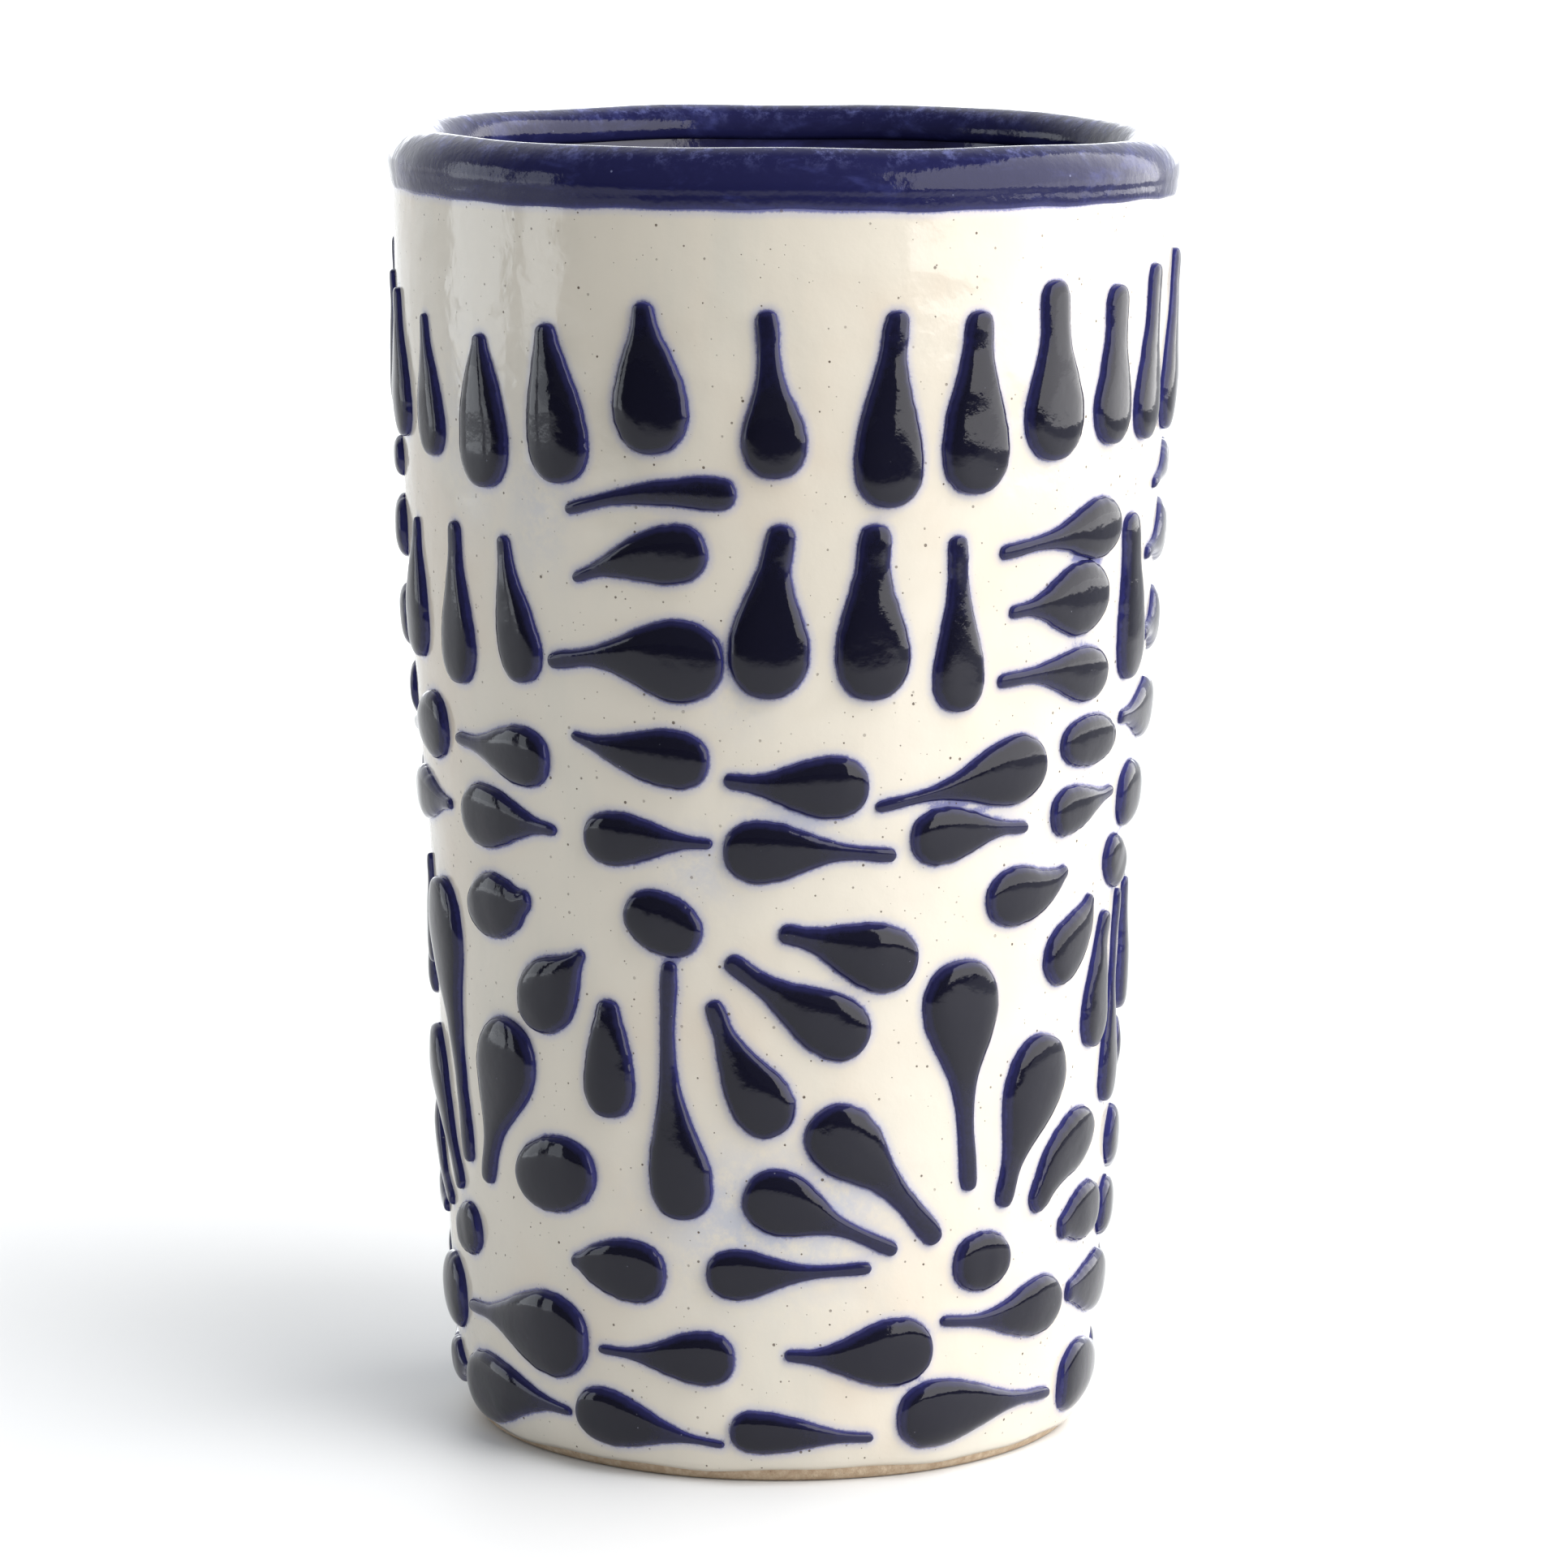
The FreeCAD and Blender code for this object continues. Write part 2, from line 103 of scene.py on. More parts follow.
def profileOf(name, facing):
    # radius and height of every point on the faces that pass the test
    points, corners = nodeMesh(name)
    a, b, c = (points[corners[:, k]] for k in range(3))
    normal = np.cross(b - a, c - a)
    length = np.linalg.norm(normal, axis=1)
    solid = length > 1e-14
    normal = normal[solid] / length[solid][:, None]
    middle = ((a + b + c) / 3)[solid]
    radius = np.hypot(middle[:, 0], middle[:, 1])
    outward = (normal[:, 0] * middle[:, 0] + normal[:, 1] * middle[:, 1]) / np.maximum(radius, 1e-9)
    kept = np.unique(corners[solid][facing(radius, middle[:, 2], outward, normal[:, 2])])
    line = np.column_stack((np.hypot(points[kept, 0], points[kept, 1]), points[kept, 2]))
    return np.unique(np.round(line, 6), axis=0)


def thinned(line, gap):
    kept = [line[0]]
    for point in line[1:-1]:
        clear = np.linalg.norm(point - kept[-1]) > gap and np.linalg.norm(point - line[-1]) > gap
        if clear:
            kept.append(point)
    return np.array(kept + [line[-1]])


def filled(line, longest):
    # a line with points added along its long straight runs
    points = [line[:1]]
    for here, there in zip(line[:-1], line[1:]):
        steps = max(1, math.ceil(np.linalg.norm(there - here) / longest))
        points.append(here + (there - here) * np.arange(1, steps + 1)[:, None] / steps)
    return np.vstack(points)


def smoothLine(line, spacing):
    # evenly spaced points on a curve through the line's points
    gap = np.linalg.norm(np.diff(line, axis=0), axis=1)[:, None]
    slope = np.diff(line, axis=0) / gap
    between = (slope[:-1] * gap[1:] + slope[1:] * gap[:-1]) / (gap[:-1] + gap[1:])
    lean = np.vstack((slope[:1], between, slope[-1:]))
    dense = []
    for k in range(len(gap)):
        for t in np.linspace(0, 1, 12, endpoint=False):
            rise = t * t * (3 - 2 * t)
            leave, arrive = t * (1 - t) ** 2 * gap[k], t * t * (t - 1) * gap[k]
            bend = lean[k] * leave + lean[k + 1] * arrive
            dense.append(line[k] + (line[k + 1] - line[k]) * rise + bend)
    dense = np.array(dense + [line[-1]])
    along = np.concatenate(([0], np.cumsum(np.linalg.norm(np.diff(dense, axis=0), axis=1))))
    count = max(2, int(round(along[-1] / spacing)) + 1)
    places = np.linspace(0, along[-1], count)
    return np.column_stack([np.interp(places, along, dense[:, k]) for k in range(2)])


def everyFew(line, step):
    # every few points of a line, and always its last one
    return np.vstack((line[:-1:step], line[-1:]))


def smoothStep(low, high, value):
    t = np.clip((value - low) / (high - low), 0, 1)
    return t * t * (3 - 2 * t)


def makePiece(name, points, faces, material, body="root"):
    mesh = bpy.data.meshes.new(name)
    mesh.from_pydata([tuple(p) for p in points], [], faces)
    mesh.update()
    mesh.shade_smooth()
    piece = bpy.data.objects.new(name, mesh)
    bpy.context.scene.collection.objects.link(piece)
    mesh.materials.append(material)
    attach(piece, body)
    return piece


def addValues(piece, name, values):
    layer = piece.data.attributes.new(name, "FLOAT", "POINT")
    layer.data.foreach_set("value", np.asarray(values, dtype=np.float32))


# The thrown wall: how a hand on the wheel left it out of true

throwing = {
    "seed": 11,
    "oval": 0.00010,         # out of round, two and three lobes
    "swell": 0.000045,       # broad soft dents
    "ridge": 0.000018,       # finger ridges round the wall
    "ridgeGap": 0.0062,
    "crestWave": 0.00016,    # how much the lip rises and falls
}

dice = np.random.default_rng(throwing["seed"])
dents = [(int(dice.integers(2, 9)), dice.uniform(-160, 160), dice.uniform(0, 6.28)) for k in range(14)]


def outOfTrue(angle, height):
    # how far the wall stands out from a true circle
    push = throwing["oval"] * (np.sin(2 * angle + 0.7) + 0.5 * np.sin(3 * angle + 2.1))
    for lobes, rate, phase in dents:
        push = push + throwing["swell"] * np.sin(lobes * angle + rate * height + phase) * 0.5
    spiral = height / throwing["ridgeGap"] * 2 * math.pi + angle
    push = push + throwing["ridge"] * np.sin(spiral + 0.6 * np.sin(2 * angle))
    return push


def crestRise(angle, height):
    wave = np.sin(2 * angle + 1.9) + 0.7 * np.sin(3 * angle + 0.4) + 0.5 * np.sin(7 * angle + 2.2)
    wave = wave + 0.35 * np.sin(11 * angle + 1.1)
    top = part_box("cobalt_rim_glaze")[1].z
    return throwing["crestWave"] * wave * smoothStep(top - 0.016, top - 0.001, height)


def byHeight(line):
    return line[np.argsort(line[:, 1])]


def outerFaces(radius, height, outward, up):
    return outward > 0.5


wallLine = thinned(byHeight(profileOf("cream_outer_glaze", outerFaces)), 0.0012)


def wallRadius(height):
    return np.interp(height, wallCurve[:, 1], wallCurve[:, 0])


wallCurve = smoothLine(wallLine, 0.0004)
print("wall line read, %d points" % len(wallLine))


def turnedGrid(line, columns):
    # rings of points: angles and heights as grids, one row for each point of the line
    angle = np.tile(np.arange(columns) * 2 * math.pi / columns, (len(line), 1))
    radius = np.repeat(line[:, 0][:, None], columns, axis=1)
    height = np.repeat(line[:, 1][:, None], columns, axis=1)
    return angle, radius, height


def placed(angle, radius, height):
    # the points of such a grid, with angle 0 at the front
    across, ahead = radius * np.sin(angle), -radius * np.cos(angle)
    return np.column_stack((across.ravel(), ahead.ravel(), height.ravel()))


def ringFaces(rows, columns, closed):
    faces = []
    for i in range(rows if closed else rows - 1):
        low, high = i * columns, ((i + 1) % rows) * columns
        for j in range(columns):
            k = (j + 1) % columns
            faces.append((low + j, low + k, high + k, high + j))
    return faces


# Glaze and clay finishes


class Finish:
    # a node material with short calls for the nodes that glazes are made of

    def __init__(self, name):
        self.material = bpy.data.materials.new(name)
        self.material.use_nodes = True
        self.tree = self.material.node_tree
        self.shader = self.tree.nodes["Principled BSDF"]
        self.place = self.tree.nodes.new("ShaderNodeTexCoord").outputs["Object"]

    def node(self, kind, **settings):
        made = self.tree.nodes.new(kind)
        for key, value in settings.items():
            setattr(made, key, value)
        return made

    def feed(self, socket, value):
        if isinstance(value, bpy.types.NodeSocket):
            self.tree.links.new(value, socket)
        else:
            socket.default_value = value

    def math(self, operation, first, second=0.0, clamp=False):
        made = self.node("ShaderNodeMath", operation=operation, use_clamp=clamp)
        self.feed(made.inputs[0], first)
        self.feed(made.inputs[1], second)
        return made.outputs[0]

    def value(self, name):
        return self.node("ShaderNodeAttribute", attribute_name=name).outputs["Fac"]

    def cloud(self, scale, detail=3.0, roughness=0.5, stretch=None, distortion=0.0):
        made = self.node("ShaderNodeTexNoise")
        place = self.place
        if stretch:
            mapping = self.node("ShaderNodeMapping")
            self.feed(mapping.inputs["Vector"], place)
            mapping.inputs["Scale"].default_value = stretch
            place = mapping.outputs["Vector"]
        self.feed(made.inputs["Vector"], place)
        made.inputs["Scale"].default_value = scale
        made.inputs["Detail"].default_value = detail
        made.inputs["Roughness"].default_value = roughness
        made.inputs["Distortion"].default_value = distortion
        return made.outputs["Fac"]

    def fade(self, value, low, high, start=0.0, end=1.0, smooth=True):
        made = self.node("ShaderNodeMapRange")
        made.interpolation_type = "SMOOTHSTEP" if smooth else "LINEAR"
        self.feed(made.inputs["Value"], value)
        made.inputs["From Min"].default_value = low
        made.inputs["From Max"].default_value = high
        made.inputs["To Min"].default_value = start
        made.inputs["To Max"].default_value = end
        return made.outputs["Result"]

    def blend(self, share, first, second):
        made = self.node("ShaderNodeMix", data_type="RGBA")
        self.feed(made.inputs["Factor"], share)
        self.feed(made.inputs["A"], first)
        self.feed(made.inputs["B"], second)
        return made.outputs["Result"]

    def specks(self, scale, smallest, largest, share):
        # dots at random places: sizes are shares of a cell, share is how many cells have one
        made = self.node("ShaderNodeTexVoronoi", feature="F1")
        self.feed(made.inputs["Vector"], self.place)
        made.inputs["Scale"].default_value = scale
        split = self.node("ShaderNodeSeparateColor")
        self.feed(split.inputs["Color"], made.outputs["Color"])
        size = self.math("POWER", split.outputs["Red"], 3.0)
        size = self.math("MULTIPLY_ADD", size, largest - smallest)
        size.node.inputs[2].default_value = smallest
        inside = self.math("SUBTRACT", size, made.outputs["Distance"])
        inside = self.math("MULTIPLY", inside, 28.0, clamp=True)
        here = self.math("LESS_THAN", split.outputs["Green"], share)
        return self.math("MULTIPLY", inside, here), split.outputs["Blue"]

    def bumps(self, heights):
        # heights is a list of (value, depth in metres)
        normal = None
        for value, depth in heights:
            made = self.node("ShaderNodeBump")
            made.inputs["Distance"].default_value = depth
            made.inputs["Strength"].default_value = 1.0
            self.feed(made.inputs["Height"], value)
            if normal:
                self.feed(made.inputs["Normal"], normal)
            normal = made.outputs["Normal"]
        self.feed(self.shader.inputs["Normal"], normal)

    def gloss(self, roughness, ior=1.5, level=0.5):
        self.feed(self.shader.inputs["Roughness"], roughness)
        self.shader.inputs["IOR"].default_value = ior
        self.shader.inputs["Specular IOR Level"].default_value = level

    def colour(self, value):
        self.feed(self.shader.inputs["Base Color"], value)


creamLook = {
    "body": (0.635, 0.590, 0.508, 1),
    "warm": (0.625, 0.555, 0.462, 1),
    "cool": (0.57, 0.550, 0.485, 1),
    "haze": (0.42, 0.44, 0.52, 1),
    "bleed": (0.30, 0.34, 0.60, 1),
    "edge": (0.12, 0.13, 0.34, 1),
    "speck": (0.10, 0.07, 0.05, 1),
    "roughness": (0.07, 0.14),
}


def creamFinish():
    f = Finish("cream_glaze")
    broad = f.cloud(38.0, 3.0, 0.55)
    streaky = f.cloud(60.0, 4.0, 0.6, stretch=(1.6, 1.6, 0.45))
    colour = f.blend(f.fade(broad, 0.48, 0.72), creamLook["body"], creamLook["warm"])
    colour = f.blend(f.math("MULTIPLY", f.fade(streaky, 0.5, 0.78), 0.6), colour, creamLook["cool"])
    fine = f.cloud(900.0, 4.0, 0.7)
    hazeShare = f.math("MULTIPLY", f.value("haze"), f.fade(f.cloud(330.0, 6.0, 0.75), 0.32, 0.62))
    colour = f.blend(f.math("MULTIPLY", hazeShare, 0.9), colour, creamLook["haze"])
    # blue that ran out of the drops and the rim band into the cream
    ragged = f.math("SUBTRACT", f.cloud(2600.0, 3.0, 0.7), 0.5)
    reach = f.math("MULTIPLY_ADD", ragged, 0.55)
    f.feed(reach.node.inputs[2], f.value("fromBlue"))
    colour = f.blend(f.fade(reach, 0.12, 1.1, 0.30, 0.0), colour, creamLook["bleed"])
    colour = f.blend(f.fade(reach, -0.05, 0.30, 0.85, 0.0), colour, creamLook["edge"])
    small, tint = f.specks(950.0, 0.075, 0.19, 0.75)
    large, other = f.specks(420.0, 0.045, 0.110, 0.80)
    smallShare = f.math("MULTIPLY", small, f.fade(tint, 0, 1, 0.35, 0.95))
    colour = f.blend(smallShare, colour, creamLook["speck"])
    largeShare = f.math("MULTIPLY", large, f.fade(other, 0, 1, 0.45, 0.95))
    colour = f.blend(largeShare, colour, creamLook["speck"])
    f.colour(colour)
    f.gloss(f.fade(fine, 0.3, 0.75, *creamLook["roughness"]))
    dents = f.math("SUBTRACT", f.cloud(150.0, 2.0, 0.5), f.math("MULTIPLY", small, 0.25))
    f.bumps([(dents, 0.00022), (f.cloud(1100.0, 2.0, 0.5), 0.000025)])
    return f.material


slipLook = {
    "thick": (0.0055, 0.0055, 0.0135, 1),
    "middle": (0.0135, 0.0135, 0.0520, 1),
    "thin": (0.0250, 0.0260, 0.1200, 1),
    # pale pit colour: painted highlight, the glint that small pits in the slip would mirror
    "pitGlint": (0.30, 0.31, 0.40, 1),
    "roughness": (0.05, 0.11),
    "mirror": 0.36,          # how much it mirrors, as the shader's specular level
}


def slipFinish():
    f = Finish("navy_slip")
    wobble = f.math("MULTIPLY", f.math("SUBTRACT", f.cloud(1300.0, 4.0, 0.75), 0.5), 0.55)
    depth = f.math("ADD", f.value("glazeDepth"), wobble)
    colour = f.blend(f.fade(depth, 0.40, 1.05), slipLook["middle"], slipLook["thick"])
    colour = f.blend(f.fade(depth, 0.04, 0.30, 1.0, 0.0), colour, slipLook["thin"])
    # small pits in the slip: the dents are real bumps, their pale grey colour is a painted glint of
    # light
    pitsAndGlints = f.specks(800.0, 0.03, 0.11, 0.22)[0]
    colour = f.blend(f.math("MULTIPLY", pitsAndGlints, 0.4), colour, slipLook["pitGlint"])
    f.colour(colour)
    sheen = f.fade(f.cloud(1400.0, 3.0, 0.6), 0.3, 0.8, *slipLook["roughness"])
    f.gloss(sheen, level=slipLook["mirror"])
    f.bumps([(f.cloud(380.0, 2.0, 0.45), 0.00006), (f.cloud(1900.0, 2.0, 0.6), 0.000010),
             (f.math("MULTIPLY", pitsAndGlints, -1.0), 0.00005)])
    return f.material


rimLook = {
    "deep": (0.0120, 0.0125, 0.0560, 1),
    "streak": (0.0330, 0.0370, 0.1350, 1),
    "thin": (0.1500, 0.1650, 0.4000, 1),
    "edge": (0.0300, 0.0330, 0.1700, 1),
    "dot": (0.25, 0.27, 0.45, 1),
    "roughness": (0.07, 0.14),
    "mirror": 0.30,
}


def rimFinish():
    f = Finish("cobalt_rim_glaze")
    streaks = f.cloud(110.0, 5.0, 0.65, stretch=(1.0, 1.0, 2.2), distortion=0.4)
    colour = f.blend(f.fade(streaks, 0.50, 0.74), rimLook["deep"], rimLook["streak"])
    patchy = f.fade(f.cloud(520.0, 6.0, 0.75), 0.48, 0.70)
    crest = f.math("MULTIPLY", f.value("crest"), patchy)
    colour = f.blend(f.math("MULTIPLY", crest, 0.6), colour, rimLook["thin"])
    ragged = f.math("SUBTRACT", f.cloud(1800.0, 4.0, 0.7), 0.5)
    reach = f.math("MULTIPLY_ADD", ragged, 0.8)
    f.feed(reach.node.inputs[2], f.value("fromEdge"))
    colour = f.blend(f.fade(reach, 0.25, 1.3, 0.75, 0.0), colour, rimLook["edge"])
    colour = f.blend(f.fade(reach, 0.0, 0.42, 0.8, 0.0), colour, rimLook["thin"])
    dots = f.specks(700.0, 0.03, 0.13, 0.35)[0]
    colour = f.blend(f.math("MULTIPLY", dots, 0.45), colour, rimLook["dot"])
    f.colour(colour)
    sheen = f.fade(f.cloud(700.0, 4.0, 0.6), 0.3, 0.8, *rimLook["roughness"])
    f.gloss(sheen, level=rimLook["mirror"])
    f.bumps([(f.cloud(260.0, 3.0, 0.5), 0.00014), (f.cloud(1500.0, 3.0, 0.6), 0.00003)])
    return f.material


insideLook = {
    "deep": (0.0130, 0.0125, 0.0560, 1),
    "streak": (0.0340, 0.0350, 0.1500, 1),
    "dot": (0.12, 0.13, 0.30, 1),
    "roughness": (0.10, 0.18),
}


def insideFinish():
    f = Finish("cobalt_inner_glaze")
    streaks = f.cloud(70.0, 5.0, 0.6, stretch=(1.0, 1.0, 2.5), distortion=0.3)
    colour = f.blend(f.fade(streaks, 0.46, 0.76), insideLook["deep"], insideLook["streak"])
    dots = f.specks(420.0, 0.03, 0.12, 0.30)[0]
    colour = f.blend(f.math("MULTIPLY", dots, 0.35), colour, insideLook["dot"])
    f.colour(colour)
    f.gloss(f.fade(f.cloud(500.0, 4.0, 0.6), 0.3, 0.8, *insideLook["roughness"]))
    f.bumps([(f.cloud(160.0, 3.0, 0.5), 0.0002), (f.cloud(1300.0, 2.0, 0.6), 0.00003)])
    return f.material


clayLook = {
    "dark": (0.36, 0.26, 0.17, 1),
    "pale": (0.50, 0.40, 0.29, 1),
    "grit": (0.16, 0.09, 0.05, 1),
    "roughness": (0.72, 0.92),
}


def clayFinish():
    f = Finish("bare_clay")
    grain = f.cloud(900.0, 6.0, 0.7)
    colour = f.blend(f.fade(grain, 0.35, 0.7), clayLook["dark"], clayLook["pale"])
    grit = f.specks(900.0, 0.05, 0.22, 0.5)[0]
    colour = f.blend(f.math("MULTIPLY", grit, 0.6), colour, clayLook["grit"])
    f.colour(colour)
    f.gloss(f.fade(grain, 0.3, 0.7, *clayLook["roughness"]))
    f.bumps([(f.cloud(420.0, 5.0, 0.7), 0.0003), (f.cloud(2600.0, 3.0, 0.7), 0.00006)])
    return f.material


# Raised drops

dropShape = {
    "stations": 64,          # from tail to head
    "across": 26,
    "fullness": 2.6,         # how square-shouldered the dome is
    "shoulder": 0.45,
    "ragged": 0.00008,       # wander of the outline
    "lumps": 0.05,
    "sunk": 0.0003,          # how far the edge goes on below the glaze
    "binLength": 0.00014,    # a drop is measured in slices of this length
    "binRange": (24, 160),
    "calm": 3,               # how many bins on each side even out a measure
}


def splitSolids(points, corners):
    # one array of points for each separate solid of a node
    starts = np.bincount(corners.min(axis=1), minlength=len(points))
    ends = np.bincount(corners.max(axis=1), minlength=len(points))
    bridged = np.cumsum(starts - ends)
    return np.split(points, np.nonzero(bridged[:-1] == 0)[0] + 1)


def calmed(values, reach):
    # a row of numbers with its small jumps evened out and its two ends kept
    window = np.hanning(2 * reach + 3)[1:-1]
    padded = np.pad(values, reach, mode="reflect", reflect_type="odd")
    return np.convolve(padded, window / window.sum(), mode="valid")


def widest(values):
    # each number becomes the largest of itself and its two neighbours
    padded = np.concatenate((values[:1], values, values[-1:]))
    return np.maximum(np.maximum(padded[:-2], padded[2:]), values)


def readDrop(points):
    # lays a drop of the frame out flat and measures it from its tail to its head
    middle = math.atan2(points[:, 0].mean(), -points[:, 1].mean())
    turned = np.arctan2(points[:, 0], -points[:, 1]) - middle
    turned = (turned + math.pi) % (2 * math.pi) - math.pi
    centre = (points[:, 2].min() + points[:, 2].max()) / 2
    scale = float(wallRadius(centre))
    flat = np.column_stack((turned * scale, points[:, 2] - centre))
    lift = np.hypot(points[:, 0], points[:, 1]) - wallRadius(points[:, 2])
    ahead = np.linalg.eigh(np.cov(flat.T))[1][:, 1]
    for way in range(2):     # the second time with head and tail the other way round
        left = np.array((-ahead[1], ahead[0]))
        along, aside = flat @ ahead, flat @ left
        start, length = along.min(), np.ptp(along)
        along = along - start
        if np.ptp(aside[along < length * 0.35]) <= np.ptp(aside[along > length * 0.65]):
            break
        ahead = -ahead
    bins = int(np.clip(length / dropShape["binLength"], *dropShape["binRange"]))
    places = np.clip((along / length * bins).astype(int), 0, bins - 1)
    low, high, top = np.full(bins, np.inf), np.full(bins, -np.inf), np.zeros(bins)
    np.maximum.at(top, places, lift)
    np.minimum.at(low, places, aside)
    np.maximum.at(high, places, aside)
    low, high, top = widest(-low) * -1, widest(high), widest(top)
    filledBins = np.isfinite(low)
    at = (np.arange(bins)[filledBins] + 0.5) / bins
    width, middles = (high - low)[filledBins], ((high + low) / 2)[filledBins]
    share = (1 - np.cos(np.pi * np.arange(1, dropShape["stations"]) / dropShape["stations"])) / 2
    ends, even = np.concatenate(([0], at, [1])), np.linspace(0, 1, bins + 1)
    squared = np.concatenate(([0], (width / 2) ** 2, [0]))
    girth = calmed(np.interp(even, ends, squared), dropShape["calm"])
    line = calmed(np.interp(even, at, middles), dropShape["calm"])
    steady = width > 0.0008
    rise = np.median(top[filledBins][steady] / np.sqrt(width[steady]))
    half = np.sqrt(np.maximum(np.interp(share, even, girth), 1e-10))
    return {
        "angle": middle,
        "height": centre,
        "scale": scale,
        "tail": start * ahead,
        "ahead": ahead,
        "left": left,
        "length": length,
        "share": share,      # the stations, as shares of the length
        "tips": (line[0], line[-1]),
        "half": half,
        "line": np.interp(share, even, line),
        "rise": rise * np.sqrt(2 * half),
    }


def wander(count, seed, pace):
    # smooth random numbers between about -1 and 1
    return np.array([noise.noise(Vector((k * pace, seed * 7.31, 0.5))) for k in range(count)]) * 1.6


def domeOf(drop, seed):
    # the points of one closed drop on the thrown wall, its faces, its edge line and its glaze depth
    along = drop["share"] * drop["length"]
    count, across = len(along), dropShape["across"]
    calm = np.minimum(1, drop["half"] / 0.002)
    pace = 0.45
    lowShift = dropShape["ragged"] * calm * wander(count, seed, pace)
    highShift = dropShape["ragged"] * calm * wander(count, seed + 0.37, pace)
    line, half = drop["line"], np.maximum(drop["half"], 0.00004)
    low, high = line - half + lowShift, line + half + highShift
    swell = 1 + dropShape["lumps"] * wander(count, seed + 0.71, 0.09)
    u = np.sin(np.linspace(-math.pi / 2, math.pi / 2, across))
    cross = np.maximum(1 - np.abs(u) ** dropShape["fullness"], 0) ** dropShape["shoulder"]
    rim = np.where(u < 0, lowShift[:, None], highShift[:, None]) * np.abs(u) ** 4
    aside = line[:, None] + half[:, None] * u[None, :] + rim
    lift = (drop["rise"] * swell)[:, None] * cross[None, :]
    ahead = np.repeat(along[:, None], across, axis=1)
    tailAside, headAside = drop["tips"]
    tipLift = -dropShape["sunk"] * 0.3
    tips = np.array([[0, tailAside, tipLift], [drop["length"], headAside, tipLift]])
    sunkAside = np.column_stack((low, high))
    sunkLift = np.full(2 * count, -dropShape["sunk"])
    sunk = np.column_stack((np.repeat(along, 2), sunkAside.ravel(), sunkLift))
    flat = np.vstack((np.column_stack((ahead.ravel(), aside.ravel(), lift.ravel())), sunk, tips))
    spread = drop["tail"] + flat[:, :1] * drop["ahead"] + flat[:, 1:2] * drop["left"]
    angle = drop["angle"] + spread[:, 0] / drop["scale"]
    height = drop["height"] + spread[:, 1]
    radius = wallRadius(height) + outOfTrue(angle, height) + flat[:, 2]
    points = np.column_stack((radius * np.sin(angle), -radius * np.cos(angle), height))
    faces = []
    floor = count * across
    for i in range(count - 1):
        for j in range(across - 1):
            a = i * across + j
            faces.append((a, a + across, a + across + 1, a + 1))
        a, b = i * across, floor + 2 * i
        faces.append((a, b, b + 2, a + across))
        a += across - 1
        faces.append((a, a + across, b + 3, b + 1))
        faces.append((b, b + 1, b + 3, b + 2))
    tailTip, headTip = floor + 2 * count, floor + 2 * count + 1
    for tip, row, sign in ((tailTip, 0, 1), (headTip, count - 1, -1)):
        ring = [floor + 2 * row] + [row * across + j for j in range(across)] + [floor + 2 * row + 1]
        for a, b in zip(ring, ring[1:] + ring[:1]):
            faces.append((tip, a, b) if sign > 0 else (tip, b, a))
    spine = drop["tail"] + along[:, None] * drop["ahead"]
    edge = np.vstack((spine + low[:, None] * drop["left"],
                      drop["tail"] + drop["length"] * drop["ahead"] + headAside * drop["left"],
                      (spine + high[:, None] * drop["left"])[::-1],
                      drop["tail"] + tailAside * drop["left"]))
    inward = nearest(spread, edge)
    depth = np.minimum(np.maximum(flat[:, 2], 0), inward * 1.15) / millimetre
    return points, faces, edge, depth


def nearest(points, edge):
    # distance from each point to the closest point of an edge line
    starts, ends = edge, np.roll(edge, -1, axis=0)
    run = ends - starts
    size = np.maximum((run ** 2).sum(axis=1), 1e-14)
    best = np.full(len(points), np.inf)
    for k in range(len(starts)):
        t = np.clip(((points - starts[k]) @ run[k]) / size[k], 0, 1)
        away = points - starts[k] - t[:, None] * run[k]
        best = np.minimum(best, (away ** 2).sum(axis=1))
    return np.sqrt(best)


def insideOf(points, edge):
    # which points lie inside a closed edge line
    inside = np.zeros(len(points), dtype=bool)
    for a, b in zip(edge, np.roll(edge, -1, axis=0)):
        crosses = (a[1] > points[:, 1]) != (b[1] > points[:, 1])
        slope = (points[:, 1] - a[1]) / (b[1] - a[1] if b[1] != a[1] else 1e-12)
        inside ^= crosses & (points[:, 0] < a[0] + slope * (b[0] - a[0]))
    return inside


slipMaterial = slipFinish()
dropEdges = []               # (angle, height, scale, edge line) of every drop, for the blue round it
dropNodes = sorted(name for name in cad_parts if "drop" in name or "petal" in name or "dot" in name)
for order, nodeName in enumerate(dropNodes):
    allPoints, allFaces, allDepths, base = [], [], [], 0
    for number, solid in enumerate(splitSolids(*nodeMesh(nodeName))):
        drop = readDrop(solid)
        points, faces, edge, depth = domeOf(drop, order * 31 + number + 1)
        dropEdges.append((drop["angle"], drop["height"], drop["scale"], edge))
        allPoints.append(points)
        allFaces += [tuple(v + base for v in face) for face in faces]
        allDepths.append(depth)
        base += len(points)
    piece = makePiece("slip_" + nodeName, np.vstack(allPoints), allFaces, slipMaterial)
    addValues(piece, "glazeDepth", np.concatenate(allDepths))
    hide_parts(nodeName)
print("%d slip drops trailed" % len(dropEdges))


# Cream coat

creamCoat = {
    "columns": 540,
    "rowGap": 0.00088,
    "coat": 0.0005,
    "tuck": 0.0007,          # how far the coat goes on under the rim band
    "bleed": 0.0035,         # how far out from a drop the blue is worked out
}

